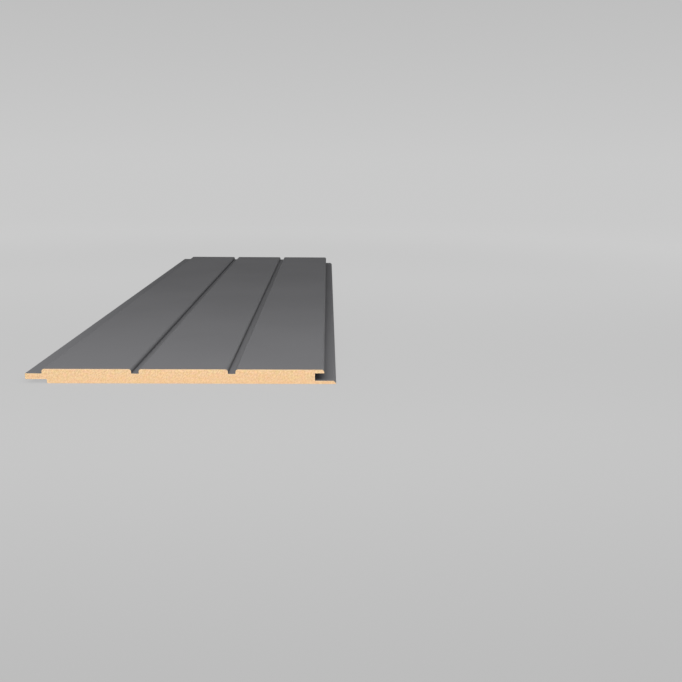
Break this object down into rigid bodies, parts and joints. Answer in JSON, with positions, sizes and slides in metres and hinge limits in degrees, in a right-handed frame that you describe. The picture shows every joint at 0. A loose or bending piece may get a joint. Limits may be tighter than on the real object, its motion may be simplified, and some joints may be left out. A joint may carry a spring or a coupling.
{
  "type": "tongue and groove wall panel",
  "caption": "Painted fibreboard wall panel with flat-bottomed grooves that part it into boards, a tongue along one edge and a socket with a long nailing lip along the other.",
  "frame": {"origin": "on the level that the panel lies on, under the middle of its overall length and width", "axes": "+X from the tongue edge to the socket edge, +Y along the boards, +Z out of the painted face"},
  "size_m": [0.2512, 0.762, 0.012],
  "materials": {
    "painted_fibreboard": "satin"
  },
  "bodies": {
    "root": {"wall_panel": "painted_fibreboard"}
  },
  "joints": []
}
